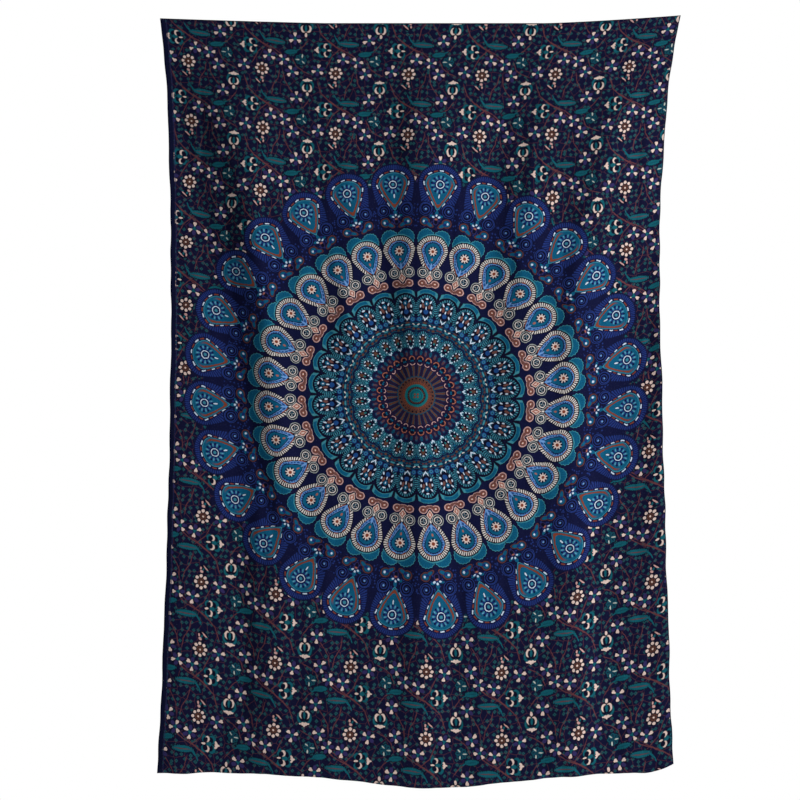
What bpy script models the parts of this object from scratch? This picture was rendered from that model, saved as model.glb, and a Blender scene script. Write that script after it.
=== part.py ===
"""Tapestry wall hanging: one printed cotton panel with a narrow turned hem on each side, each hem closed by its own line of
lockstitch. It hangs flat on a wall by its top hem. The cloth sags a little between its two top corners, its sides draw in where
the slack gathers into soft folds, and its lower edge dips in the middle.

Frame: +Z up, +X along the top edge to the right as seen from the front, -Y towards the viewer, and the wall is the plane y = 0.
The origin is on the back of the top hem, half way along it and half way up it. Metres throughout."""

import math

import bpy
from mathutils import Vector

# ---------------------------------------------------------------- cut size of the cloth
FLAT_W = 1.400  # cut width, hem to hem
FLAT_H = 2.050  # cut height, hem to hem

# ---------------------------------------------------------------- hems, as sewn
HEM_TOP = 0.012
HEM_BOTTOM = 0.012
HEM_LEFT = 0.015  # the plain dyed selvedge turned once
HEM_RIGHT = 0.008
HEM_T = 0.0015  # a hem is three layers of cloth
CLOTH_T = 0.0006  # one layer, a little over its real 0.3 mm so that it is a solid
THREAD_R = 0.00025
GAP = 0.0003
STITCH_IN = 0.0022  # the stitch line's distance from the hem's inner edge

# ---------------------------------------------------------------- how it hangs
CENTRE_Y = -0.0008  # mid-plane of the cloth at the top, in front of the wall
WAIST_X = 0.647  # half width where the cloth is narrowest
TOP_FLARE_R, TOP_FLARE_L = 0.064, 0.035  # how far each top corner stands out from the waist
TOP_FLARE_DROP = 0.13  # share of the height over which that flare dies away
FOOT_FLARE = 0.040  # how far each bottom corner stands out from the waist
CORNER_UP_L, CORNER_UP_R = 0.013, 0.021  # top corners above the middle of the top edge
DROP_SIDE = 2.003  # top edge to bottom edge at the sides
FOOT_DIP = 0.040  # extra drop in the middle of the bottom edge
CORNER_LIFT_R = 0.026  # the bottom right corner kicks up
FOLD_BUILD = 0.16  # share of the height over which the folds build up below the hem
SPARE_IN_FOLDS = 0.6  # the rest of the spare width goes into the skew of the weave

# ---------------------------------------------------------------- mesh steps
COLS = 30
ROWS = 34

SWING_AXIS_Z = -0.006  # the flap turns just under the top hem
SWING_GAP = 0.0010  # between the flap and the top hem, so that the flap clears it when lifted


def smooth(t):
    t = min(max(t, 0.0), 1.0)
    return t * t * (3.0 - 2.0 * t)


def edge_left(v):
    flare = TOP_FLARE_L * math.exp(-v / TOP_FLARE_DROP)
    foot = FOOT_FLARE * max(0.0, (v - 0.35) / 0.65) ** 1.7
    return -(WAIST_X + flare + foot)


def edge_right(v):
    flare = TOP_FLARE_R * math.exp(-v / TOP_FLARE_DROP)
    foot = FOOT_FLARE * max(0.0, (v - 0.33) / 0.67) ** 1.2
    return WAIST_X + flare + foot


def top_z(u):
    left = CORNER_UP_L * max(0.0, 1.0 - u / 0.32) ** 1.2
    right = CORNER_UP_R * max(0.0, (u - 0.74) / 0.26) ** 1.3
    return HEM_TOP / 2 + left + right


def foot_z(u):
    dip = FOOT_DIP * math.exp(-(((u - 0.54) / 0.21) ** 2))
    lift = CORNER_LIFT_R * max(0.0, (u - 0.93) / 0.07) ** 2
    return HEM_TOP / 2 - DROP_SIDE - dip + lift


def fold_wave(u, v):
    """Unit fold shape. The folds start at the two top corners, lean in towards the middle and end nearly upright at the foot."""
    spread = 0.78 + 0.30 * smooth(v / 0.65)
    s = 0.5 + (u - 0.5) * spread
    a = math.cos(2 * math.pi * (3.6 * s + 0.16))
    b = 0.55 * math.cos(2 * math.pi * (6.1 * s - 0.30 + 0.25 * v))
    c = 0.22 * math.cos(2 * math.pi * (9.4 * s + 0.45 - 0.35 * v))
    return a + b + c


def wave_roughness(v, n=120):
    """Mean square slope of the unit fold shape across the cloth, per metre of hanging width."""
    width = edge_right(v) - edge_left(v)
    total = 0.0
    for i in range(n):
        u0, u1 = i / n, (i + 1) / n
        total += ((fold_wave(u1, v) - fold_wave(u0, v)) / (width / n)) ** 2
    return total / n


def fold_height(v):
    """Fold amplitude that takes up its part of the spare width at this height, by arc length."""
    width = edge_right(v) - edge_left(v)
    spare = SPARE_IN_FOLDS * max(FLAT_W / width - 1.0, 0.0)
    return smooth(v / FOLD_BUILD) * math.sqrt(2.0 * spare / wave_roughness(v))


def wave_top(v, n=90):
    return max(-fold_wave(i / n, v) for i in range(n + 1))


HEIGHTS = {}


def cloth(u, v):
    """Middle of the cloth at (u, v): u from the left edge to the right edge, v from the top edge down."""
    key = round(v, 6)
    if key not in HEIGHTS:
        HEIGHTS[key] = (fold_height(v), wave_top(v))
    height, highest = HEIGHTS[key]
    xl, xr = edge_left(v), edge_right(v)
    z = top_z(u) + (foot_z(u) - top_z(u)) * v
    y = CENTRE_Y - height * (fold_wave(u, v) + highest)
    return Vector((xl + (xr - xl) * u, y, z))


def front(u, v, d=1e-4):
    """Unit normal of the cloth, towards the viewer."""
    u0, u1 = max(u - d, 0.0), min(u + d, 1.0)
    v0, v1 = max(v - d, 0.0), min(v + d, 1.0)
    du = cloth(u1, v) - cloth(u0, v)
    dv = cloth(u, v1) - cloth(u, v0)
    n = du.cross(dv).normalized()
    return n if n.y < 0 else -n


# ---------------------------------------------------------------- scene
for old in list(bpy.data.objects):
    bpy.data.objects.remove(old)

tapestry = bpy.data.collections.new("tapestry_wall_hanging")
bpy.context.scene.collection.children.link(tapestry)


def material(name, colour, roughness):
    m = bpy.data.materials.new(name)
    m.use_nodes = True
    shader = m.node_tree.nodes["Principled BSDF"]
    shader.inputs["Base Color"].default_value = (*colour, 1.0)
    shader.inputs["Roughness"].default_value = roughness
    shader.inputs["Metallic"].default_value = 0.0
    return m


def own(ob, name, mat):
    ob.name = name
    ob.data.name = name
    ob.data.materials.clear()
    ob.data.materials.append(mat)
    for c in list(ob.users_collection):
        c.objects.unlink(ob)
    tapestry.objects.link(ob)
    return ob


def strip(name, us, vs, thickness, mat, parent):
    """A rectangle of cloth laid along the hanging surface and given its thickness."""
    bpy.ops.mesh.primitive_grid_add(x_subdivisions=len(us) - 1, y_subdivisions=len(vs) - 1, size=2.0)
    ob = bpy.context.object
    for vert in ob.data.vertices:
        i = round((vert.co.x + 1.0) / 2.0 * (len(us) - 1))
        j = round((1.0 - vert.co.y) / 2.0 * (len(vs) - 1))
        vert.co = cloth(us[i], vs[j])
    own(ob, name, mat)
    thick = ob.modifiers.new("thickness", "SOLIDIFY")
    thick.thickness = thickness
    thick.offset = 0.0
    ob.data.shade_smooth()
    ob.parent = parent
    ob.matrix_parent_inverse = parent.matrix_world.inverted()
    return ob


def stitch(name, points, mat, parent):
    """One line of stitching, a thread laid on the face of its hem."""
    curve = bpy.data.curves.new(name, "CURVE")
    curve.dimensions = "3D"
    curve.bevel_depth = THREAD_R
    curve.bevel_resolution = 1
    curve.use_fill_caps = True
    spline = curve.splines.new("POLY")
    spline.points.add(len(points) - 1)
    for p, at in zip(spline.points, points):
        p.co = (*at, 1.0)
    ob = bpy.data.objects.new(name, curve)
    bpy.context.scene.collection.objects.link(ob)
    own(ob, name, mat)
    ob.parent = parent
    ob.matrix_parent_inverse = parent.matrix_world.inverted()
    return ob


def pivot(name, at):
    e = bpy.data.objects.new(name, None)
    e.location = at
    e.empty_display_size = 0.05
    tapestry.objects.link(e)
    bpy.context.view_layer.update()
    return e


# The wall holds the top hem. The rest of the cloth turns on a line at the front face of the panel, just under that hem.
top_edge = pivot("top_edge", (0.0, 0.0, 0.0))
flap = pivot("flap_swing", (0.0, CENTRE_Y - CLOTH_T / 2, SWING_AXIS_Z))

navy_print = material("printed_cotton", (0.035, 0.045, 0.110), 0.90)
hem_print = material("hem_cotton", (0.030, 0.038, 0.095), 0.90)
selvedge = material("plain_selvedge", (0.012, 0.016, 0.055), 0.92)
thread = material("sewing_thread", (0.020, 0.024, 0.060), 0.80)

# Where the pieces meet, in u and v.
gap_u, gap_v = GAP / (2 * WAIST_X), GAP / DROP_SIDE
u_l, u_r = HEM_LEFT / FLAT_W, 1.0 - HEM_RIGHT / FLAT_W
v_t, v_b = HEM_TOP / DROP_SIDE, 1.0 - HEM_BOTTOM / DROP_SIDE

inner_us = [u_l + (u_r - u_l) * i / COLS for i in range(COLS + 1)]
inner_us[0] += gap_u
inner_us[-1] -= gap_u
full_us = [0.0] + [u_l + (u_r - u_l) * i / COLS for i in range(COLS + 1)] + [1.0]

# The folds build up quickly under the top hem, so the rows are closer there.
panel_vs = [v_t + (v_b - v_t) * (j / ROWS) ** 1.12 for j in range(ROWS + 1)]
panel_vs[0] += SWING_GAP / DROP_SIDE
side_vs = panel_vs[:-1] + [v_b, 1.0]
panel_vs[-1] -= gap_v

strip("printed_panel", inner_us, panel_vs, CLOTH_T, navy_print, flap)
strip("hem_left", [0.0, u_l], side_vs, HEM_T, selvedge, flap)
strip("hem_right", [u_r, 1.0], side_vs, HEM_T, hem_print, flap)
strip("hem_bottom", inner_us, [v_b, 1.0], HEM_T, hem_print, flap)

# The top hem lies flat on the wall: its outline follows the sagging top edge, and its back face is the wall's plane.
outline = bpy.data.curves.new("hem_top", "CURVE")
outline.dimensions = "2D"
outline.fill_mode = "BOTH"
outline.extrude = HEM_T / 2
edge_points = [cloth(u, 0.0) for u in full_us] + [cloth(u, v_t) for u in reversed(full_us)]
spline = outline.splines.new("POLY")
spline.points.add(len(edge_points) - 1)
for p, at in zip(spline.points, edge_points):
    p.co = (at.x, at.z, 0.0, 1.0)
spline.use_cyclic_u = True
hem_top = bpy.data.objects.new("hem_top", outline)
bpy.context.scene.collection.objects.link(hem_top)
own(hem_top, "hem_top", hem_print)
hem_top.location = (0.0, -HEM_T / 2, 0.0)
hem_top.rotation_euler = (math.pi / 2, 0.0, 0.0)
hem_top.parent = top_edge

# Stitch lines, each just proud of its hem.
off = HEM_T / 2 + GAP + THREAD_R
su_l = (HEM_LEFT - STITCH_IN) / FLAT_W
su_r = 1.0 - (HEM_RIGHT - STITCH_IN) / FLAT_W
sv_b = 1.0 - (HEM_BOTTOM - STITCH_IN) / DROP_SIDE
sv_t = (HEM_TOP - STITCH_IN) / DROP_SIDE
run_vs = panel_vs[1:-1]
run_us = inner_us[1:-1]
stitch("stitch_left", [cloth(su_l, v) + front(su_l, v) * off for v in run_vs], thread, flap)
stitch("stitch_right", [cloth(su_r, v) + front(su_r, v) * off for v in run_vs], thread, flap)
stitch("stitch_bottom", [cloth(u, sv_b) + front(u, sv_b) * off for u in run_us], thread, flap)
stitch(
    "stitch_top",
    [Vector((cloth(u, sv_t).x, -(HEM_T + GAP + THREAD_R), cloth(u, sv_t).z)) for u in run_us],
    thread,
    top_edge,
)
bpy.context.view_layer.update()
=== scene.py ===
"""Tapestry wall hanging: a printed cotton panel with four stitched hems, hung flat on a wall by its top hem. The cloth's shape repeats
part.py's hanging surface, with the creases, hem puckers and small wrinkles that a real one has. The print is drawn in shader nodes,
in the cloth's own flat coordinates, so that it follows every fold."""

import math

import bmesh
import bpy
import numpy as np
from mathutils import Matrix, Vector


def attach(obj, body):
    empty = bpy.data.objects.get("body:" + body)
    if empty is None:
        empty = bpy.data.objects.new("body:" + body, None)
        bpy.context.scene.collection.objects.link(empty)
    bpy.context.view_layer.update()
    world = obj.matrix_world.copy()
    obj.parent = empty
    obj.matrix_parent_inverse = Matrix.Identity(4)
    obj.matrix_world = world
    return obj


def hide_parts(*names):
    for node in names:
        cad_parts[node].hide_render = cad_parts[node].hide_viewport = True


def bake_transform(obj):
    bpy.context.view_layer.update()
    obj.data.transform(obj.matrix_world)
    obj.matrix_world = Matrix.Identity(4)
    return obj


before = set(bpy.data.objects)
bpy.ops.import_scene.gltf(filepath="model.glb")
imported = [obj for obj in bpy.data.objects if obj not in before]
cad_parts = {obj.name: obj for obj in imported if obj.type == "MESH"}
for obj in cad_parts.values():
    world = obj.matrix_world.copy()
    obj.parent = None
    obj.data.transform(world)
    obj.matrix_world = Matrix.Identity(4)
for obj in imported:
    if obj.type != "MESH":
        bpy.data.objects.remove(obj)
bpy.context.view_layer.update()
scene = bpy.context.scene

# ---------------------------------------------------------------- the cloth as cut and as hung, as in part.py
FLAT_W, FLAT_H = 1.400, 2.050
HEM_TOP, HEM_BOTTOM, HEM_LEFT, HEM_RIGHT = 0.012, 0.012, 0.015, 0.008
CLOTH_T = 0.0005
STITCH_IN = 0.0022
CENTRE_Y = -0.0008
WAIST_X = 0.647
TOP_FLARE_R, TOP_FLARE_L, TOP_FLARE_DROP = 0.064, 0.035, 0.13
FOOT_FLARE = 0.040
CORNER_UP_L, CORNER_UP_R = 0.013, 0.021
DROP_SIDE = 2.003
FOOT_DIP = 0.040
CORNER_LIFT_R = 0.026
FOLD_BUILD = 0.16
SPARE_IN_FOLDS = 0.6

COLS, ROWS = 236, 340  # the visible cloth's mesh
SIM_COLS, SIM_ROWS = 56, 82  # the cloth simulation's mesh
SIM_CAP = 0.006  # how far the simulation may move a point, out of the surface


def ramp(t):
    t = np.clip(t, 0.0, 1.0)
    return t * t * (3.0 - 2.0 * t)


def edge_left(v):
    return -(WAIST_X + TOP_FLARE_L * np.exp(-v / TOP_FLARE_DROP) + FOOT_FLARE * np.maximum(0.0, (v - 0.35) / 0.65) ** 1.7)


def edge_right(v):
    return WAIST_X + TOP_FLARE_R * np.exp(-v / TOP_FLARE_DROP) + FOOT_FLARE * np.maximum(0.0, (v - 0.33) / 0.67) ** 1.2


def top_z(u):
    left = CORNER_UP_L * np.maximum(0.0, 1.0 - u / 0.32) ** 1.2
    return HEM_TOP / 2 + left + CORNER_UP_R * np.maximum(0.0, (u - 0.74) / 0.26) ** 1.3


def foot_z(u):
    dip = FOOT_DIP * np.exp(-(((u - 0.54) / 0.21) ** 2))
    return HEM_TOP / 2 - DROP_SIDE - dip + CORNER_LIFT_R * np.maximum(0.0, (u - 0.93) / 0.07) ** 2


def fold_wave(u, v):
    s = 0.5 + (u - 0.5) * (0.78 + 0.30 * ramp(v / 0.65))
    a = np.cos(2 * np.pi * (3.6 * s + 0.16))
    b = 0.55 * np.cos(2 * np.pi * (6.1 * s - 0.30 + 0.25 * v))
    return a + b + 0.22 * np.cos(2 * np.pi * (9.4 * s + 0.45 - 0.35 * v))


def fold_table(steps=260):
    """Fold amplitude and the wave's highest value, for each height."""
    vs = np.linspace(0.0, 1.0, steps)
    width = edge_right(vs) - edge_left(vs)
    u = np.linspace(0.0, 1.0, 121)
    wave = fold_wave(u[None, :], vs[:, None])
    slope = np.diff(wave, axis=1) / (width[:, None] / 120)
    height = ramp(vs / FOLD_BUILD) * np.sqrt(2 * SPARE_IN_FOLDS * np.maximum(FLAT_W / width - 1, 0) / (slope**2).mean(1))
    return vs, height, (-wave).max(1)


FOLD_V, FOLD_HEIGHT, FOLD_TOP = fold_table()


def hang(u, v):
    """Middle of the cloth in part.py's shape, for arrays u and v. The last axis is x, y, z."""
    height = np.interp(v, FOLD_V, FOLD_HEIGHT)
    highest = np.interp(v, FOLD_V, FOLD_TOP)
    xl, xr = edge_left(v), edge_right(v)
    z = top_z(u) + (foot_z(u) - top_z(u)) * v
    y = CENTRE_Y - height * (fold_wave(u, v) + highest)
    return np.stack([xl + (xr - xl) * u, y, z], -1)


# ---------------------------------------------------------------- creases, puckers and the simulation's wrinkles
def crease(u, v, points, width, depth):
    """A soft ridge (depth over 0) or groove along a line of (u, v) points, fading at both ends."""
    x, y = u * FLAT_W, v * FLAT_H
    p = np.array(points) * (FLAT_W, FLAT_H)
    best = np.full(np.broadcast(u, v).shape, 9.0)
    along = np.zeros_like(best)
    total = np.linalg.norm(np.diff(p, axis=0), axis=1).sum()
    start = 0.0
    for a, b in zip(p[:-1], p[1:]):
        d = b - a
        n = np.linalg.norm(d)
        t = np.clip(((x - a[0]) * d[0] + (y - a[1]) * d[1]) / n**2, 0, 1)
        r = np.hypot(x - a[0] - t * d[0], y - a[1] - t * d[1])
        nearer = r < best
        best = np.where(nearer, r, best)
        along = np.where(nearer, (start + t * n) / total, along)
        start += n
    fade = ramp(along / 0.25) * ramp((1 - along) / 0.3)
    return depth * np.exp(-((best / width) ** 2)) * fade


CREASES = [  # (points in u and v, half width in metres, height in metres)
    ([(0.10, 0.13), (0.12, 0.26), (0.15, 0.42), (0.19, 0.60), (0.24, 0.78)], 0.021, -0.0150),
    ([(0.15, 0.13), (0.17, 0.26), (0.20, 0.42), (0.24, 0.60), (0.29, 0.78)], 0.030, 0.0140),
    ([(0.26, 0.27), (0.31, 0.36), (0.33, 0.47)], 0.018, -0.0074),
    ([(0.30, 0.26), (0.355, 0.36), (0.38, 0.48)], 0.022, 0.0074),
    ([(0.13, 0.62), (0.15, 0.78), (0.16, 0.97)], 0.034, -0.0070),
    ([(0.02, 0.03), (0.10, 0.13), (0.22, 0.22)], 0.022, 0.0040),
    ([(0.98, 0.02), (0.90, 0.14), (0.83, 0.30), (0.80, 0.52)], 0.028, 0.0045),
    ([(0.87, 0.55), (0.85, 0.75), (0.86, 0.97)], 0.030, -0.0045),
    ([(0.62, 0.70), (0.60, 0.85), (0.60, 0.98)], 0.030, 0.0040),
]


def pucker(u, v):
    """The small waves that a line of machine stitching draws into the cloth beside it."""
    shape = np.broadcast(u, v).shape
    u, v = np.broadcast_to(u, shape), np.broadcast_to(v, shape)
    x, y = u * FLAT_W, v * FLAT_H
    out = np.zeros(shape)
    for dist, run, seed in ((x, y, 1.7), (FLAT_W - x, y, 5.3), (y, x, 9.1), (FLAT_H - y, x, 12.6)):
        near = np.exp(-((dist / 0.030) ** 2)) * 0.75 + np.exp(-dist / 0.09) * 0.25
        wave = np.sin(run * 2 * np.pi / 0.043 + seed + 1.9 * np.sin(run * 2 * np.pi / 0.31 + seed))
        wave = wave * 0.6 + 0.5 * np.sin(run * 2 * np.pi / 0.117 + 2.2 * seed + 1.3 * np.sin(run * 2 * np.pi / 0.53))
        out = out + near * wave * 0.00085
    return out


WRINKLE = None  # the simulation's result, on its own grid


def sample(grid, u, v):
    """Smooth lookup of a grid over u and v."""
    rows, cols = grid.shape
    fu, fv = np.clip(u, 0, 1) * (cols - 1), np.clip(v, 0, 1) * (rows - 1)
    i, j = np.minimum(fu.astype(int), cols - 2), np.minimum(fv.astype(int), rows - 2)
    a, b = ramp(fu - i), ramp(fv - j)
    top = grid[j, i] * (1 - a) + grid[j, i + 1] * a
    low = grid[j + 1, i] * (1 - a) + grid[j + 1, i + 1] * a
    return top * (1 - b) + low * b


def surface(u, v):
    """Middle of the cloth with all its detail."""
    shape = np.broadcast(u, v).shape
    u = np.broadcast_to(np.asarray(u, float), shape)
    v = np.broadcast_to(np.asarray(v, float), shape)
    p = hang(np.clip(u, 0, 1), np.clip(v, 0, 1))
    out = sum(crease(u, v, *c) for c in CREASES) + pucker(u, v)
    if WRINKLE is not None:
        out = out + sample(WRINKLE, u, v)
    settle = ramp((v - 0.004) / 0.10)  # the top hem lies flat on the wall
    y = p[..., 1] - out * settle
    # nothing passes the wall: what would is pressed softly flat
    y = CENTRE_Y - 0.0007 * np.logaddexp(0.0, (CENTRE_Y - y) / 0.0007) + 0.0007 * np.log(2.0)
    p[..., 1] = y
    # the edges are never ruler straight
    side = np.sin(v * 2 * np.pi * 17.0 + 1.4 * np.sin(v * 2 * np.pi * 3.1)) * 0.0009 + np.sin(v * 2 * np.pi * 6.3 + 0.7) * 0.0010
    p[..., 0] += side * (np.exp(-(1 - u) / 0.02) - 0.8 * np.exp(-u / 0.02)) * ramp(v / 0.05)
    p[..., 2] += np.sin(u * 2 * np.pi * 11.0 + 1.1 * np.sin(u * 2 * np.pi * 2.3)) * 0.0008 * np.exp(-(1 - v) / 0.012)
    return p


def surface_normal(u, v, d=1.2e-3):
    """Unit normal towards the viewer."""
    du = surface(np.clip(u + d, 0, 1), v) - surface(np.clip(u - d, 0, 1), v)
    dv = surface(u, np.clip(v + d, 0, 1)) - surface(u, np.clip(v - d, 0, 1))
    n = np.cross(dv, du)
    n /= np.linalg.norm(n, axis=-1, keepdims=True)
    return np.where(n[..., 1:2] > 0, -n, n)


# ---------------------------------------------------------------- meshes
def own(name, verts, faces, mat, smooth=True):
    mesh = bpy.data.meshes.new(name)
    mesh.from_pydata([tuple(p) for p in verts], [], faces)
    mesh.materials.append(mat)
    mesh.polygons.foreach_set("use_smooth", [smooth] * len(mesh.polygons))
    mesh.update()
    ob = bpy.data.objects.new(name, mesh)
    scene.collection.objects.link(ob)
    return ob


def add_uv(mesh, name, per_vertex):
    """A UV map from one (x, y) for each vertex."""
    loops = np.empty(len(mesh.loops), dtype=np.int32)
    mesh.loops.foreach_get("vertex_index", loops)
    layer = mesh.uv_layers.new(name=name)
    layer.uv.foreach_set("vector", np.asarray(per_vertex, dtype=np.float32)[loops].ravel())
    return layer


def side_map(mesh, per_face):
    """0 on the cloth's printed side and 1 on its back."""
    layer = mesh.attributes.new("side", "FLOAT", "FACE")
    layer.data.foreach_set("value", np.asarray(per_face, dtype=np.float32))


def grid_faces(cols, rows, first, flip):
    out = []
    for j in range(rows):
        for i in range(cols):
            a = first + j * (cols + 1) + i
            b, c, d = a + 1, a + cols + 2, a + cols + 1
            out.append((a, b, c, d) if flip else (a, d, c, b))
    return out


def run_simulation():
    """A short cloth simulation of the hanging panel, with a little more cloth than its outline has room for. Only the wrinkles that it
    makes are kept, not its drop."""
    cols, rows = SIM_COLS, SIM_ROWS
    u, v = np.meshgrid(np.linspace(0, 1, cols + 1), np.linspace(0, 1, rows + 1))
    start = surface(u, v)
    mesh = bpy.data.meshes.new("sim")
    mesh.from_pydata([tuple(p) for p in start.reshape(-1, 3)], [], grid_faces(cols, rows, 0, False))
    ob = bpy.data.objects.new("sim", mesh)
    scene.collection.objects.link(ob)
    pins = ob.vertex_groups.new(name="held")
    pins.add(list(range(2 * (cols + 1))), 1.0, "REPLACE")
    mod = ob.modifiers.new("cloth", "CLOTH")
    s = mod.settings
    s.quality = 6
    s.mass = 0.12
    s.tension_stiffness = s.compression_stiffness = 18.0
    s.shear_stiffness = 3.0
    s.bending_stiffness = 0.12
    s.tension_damping = s.compression_damping = s.shear_damping = 12.0
    s.bending_damping = 1.5
    s.air_damping = 4.0
    s.vertex_group_mass = "held"
    s.shrink_min = -0.011
    mod.collision_settings.use_collision = False
    mod.collision_settings.use_self_collision = False
    frames = 26
    mod.point_cache.frame_start, mod.point_cache.frame_end = 1, frames
    for f in range(1, frames + 1):
        scene.frame_set(f)
    done = ob.evaluated_get(bpy.context.evaluated_depsgraph_get()).data
    co = np.empty(len(done.vertices) * 3, dtype=np.float64)
    done.vertices.foreach_get("co", co)
    moved = co.reshape(rows + 1, cols + 1, 3)[..., 1] - start[..., 1]
    bpy.data.objects.remove(ob)
    bpy.data.meshes.remove(mesh)
    scene.frame_set(1)
    out = -moved
    wide = out.copy()
    for _ in range(60):  # the part of the movement that is broader than a wrinkle
        pad = np.pad(wide, 1, mode="edge")
        wide = (pad[:-2, 1:-1] + pad[2:, 1:-1] + pad[1:-1, :-2] + pad[1:-1, 2:] + 2 * wide) / 6
    out = out - wide
    for _ in range(1):
        pad = np.pad(out, 1, mode="edge")
        out = (pad[:-2, 1:-1] + pad[2:, 1:-1] + pad[1:-1, :-2] + pad[1:-1, 2:] + 4 * out) / 8
    return SIM_CAP * np.tanh(out / SIM_CAP)


WRINKLE = run_simulation()
print("wrinkles", round(float(np.abs(WRINKLE).max()), 5), round(float(WRINKLE.std()), 5))


# [print]
# The printed design, in print units: 1 unit is about 2.8 mm on the medallion and 2.7 mm on the ground. K is the set of drawing
# calls below, so every shape is a few shader nodes. d is a distance that is 1 at a shape's edge.
def rgb(r, g, b):
    """A dye's colour, from its 0-255 value."""
    return tuple(((c / 255 + 0.055) / 1.055) ** 2.4 if c > 10 else c / 255 / 12.92 for c in (r, g, b))


DYE = {
    "ground": rgb(14, 14, 46),
    "outline": rgb(8, 8, 32),
    "gap": rgb(13, 16, 52),
    "plum": rgb(32, 20, 50),
    "royal": rgb(32, 50, 112),
    "royal_dark": rgb(14, 18, 60),
    "teal": rgb(8, 86, 118),
    "teal_deep": rgb(10, 66, 88),
    "teal_light": rgb(62, 132, 146),
    "sea": rgb(12, 102, 108),
    "blue": rgb(28, 70, 128),
    "blue_deep": rgb(18, 44, 104),
    "sky": rgb(108, 150, 204),
    "leaf": rgb(14, 86, 98),
    "leaf_dark": rgb(14, 70, 84),
    "speck": rgb(30, 76, 82),
    "pale": rgb(190, 190, 180),
    "vine": rgb(98, 52, 56),
    "rust": rgb(128, 60, 40),
    "salmon": rgb(164, 96, 80),
    "clay": rgb(112, 70, 64),
    "brown": rgb(92, 56, 44),
    "dim_rust": rgb(92, 52, 54),
    "cream": rgb(226, 194, 182),
    "bone": rgb(220, 206, 198),
    "pink": rgb(200, 152, 146),
    "white": rgb(204, 214, 230),
    "violet": rgb(50, 42, 88),
    "grey": rgb(160, 160, 158),
    "selvedge": rgb(10, 14, 46),
    "line": rgb(42, 44, 84),
    "fibre": rgb(150, 150, 170),
    "reverse": rgb(58, 62, 92),
    "thread": rgb(24, 26, 58),
}


def oval(K, p, x, y, a, b=None, turn=0.0):
    return K.length(K.place(p, x, y, math.radians(turn), a, a if b is None else b))


def least(K, *ds):
    out = ds[0]
    for d in ds[1:]:
        out = K.math("MINIMUM", out, d)
    return out


def most(K, *ds):
    out = ds[0]
    for d in ds[1:]:
        out = K.math("MAXIMUM", out, d)
    return out


def ink(K, base, d, dye, blur=0.10, within=None):
    """Fills a shape. within is another mask that it is kept to."""
    mask = K.soft(d, 1.0 - blur, 1.0 + blur)
    if within is not None:
        mask = K.math("MULTIPLY", mask, within)
    return K.mix(base, DYE[dye], mask)


def band(K, base, d, lo, hi, dye, within=None):
    """Fills between two contours of d."""
    mask = K.math("COMPARE", d, (lo + hi) / 2, (hi - lo) / 2)
    if within is not None:
        mask = K.math("MULTIPLY", mask, within)
    return K.mix(base, DYE[dye], mask)


def polar(K, p, x, y):
    """Distance and angle about a point. The angle is 0 outwards and pi inwards."""
    q = K.place(p, x, y)
    qx, qy = K.split(q)
    return K.length(q), K.math("ARCTAN2", qx, qy), qx, qy


def drop(K, qx, qy, half, top, foot, waist, power):
    """A teardrop about its eye, point inwards: half its width, top its height above the eye, foot its depth below it."""
    below = K.math("MINIMUM", qy, 0.0)
    taper = K.math("POWER", K.math("MAXIMUM", K.math("MULTIPLY_ADD", below, 1.0 / waist, 1.0), 0.02), power)
    x = K.math("DIVIDE", qx, K.math("MULTIPLY", taper, half))
    above = K.math("MULTIPLY", K.math("MAXIMUM", qy, 0.0), 1.0 / top)
    y = K.math("MULTIPLY_ADD", below, -1.0 / foot, above)
    return K.length(K.join(x, y))


def rays(K, angle, n, duty, shift=0.0):
    """n rays about a point, as a 0-1 mask."""
    wave = K.math("COSINE", K.math("MULTIPLY_ADD", angle, n, shift))
    edge = math.cos(math.pi * duty)
    return K.rise(wave, edge - 0.35, edge + 0.35)


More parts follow.
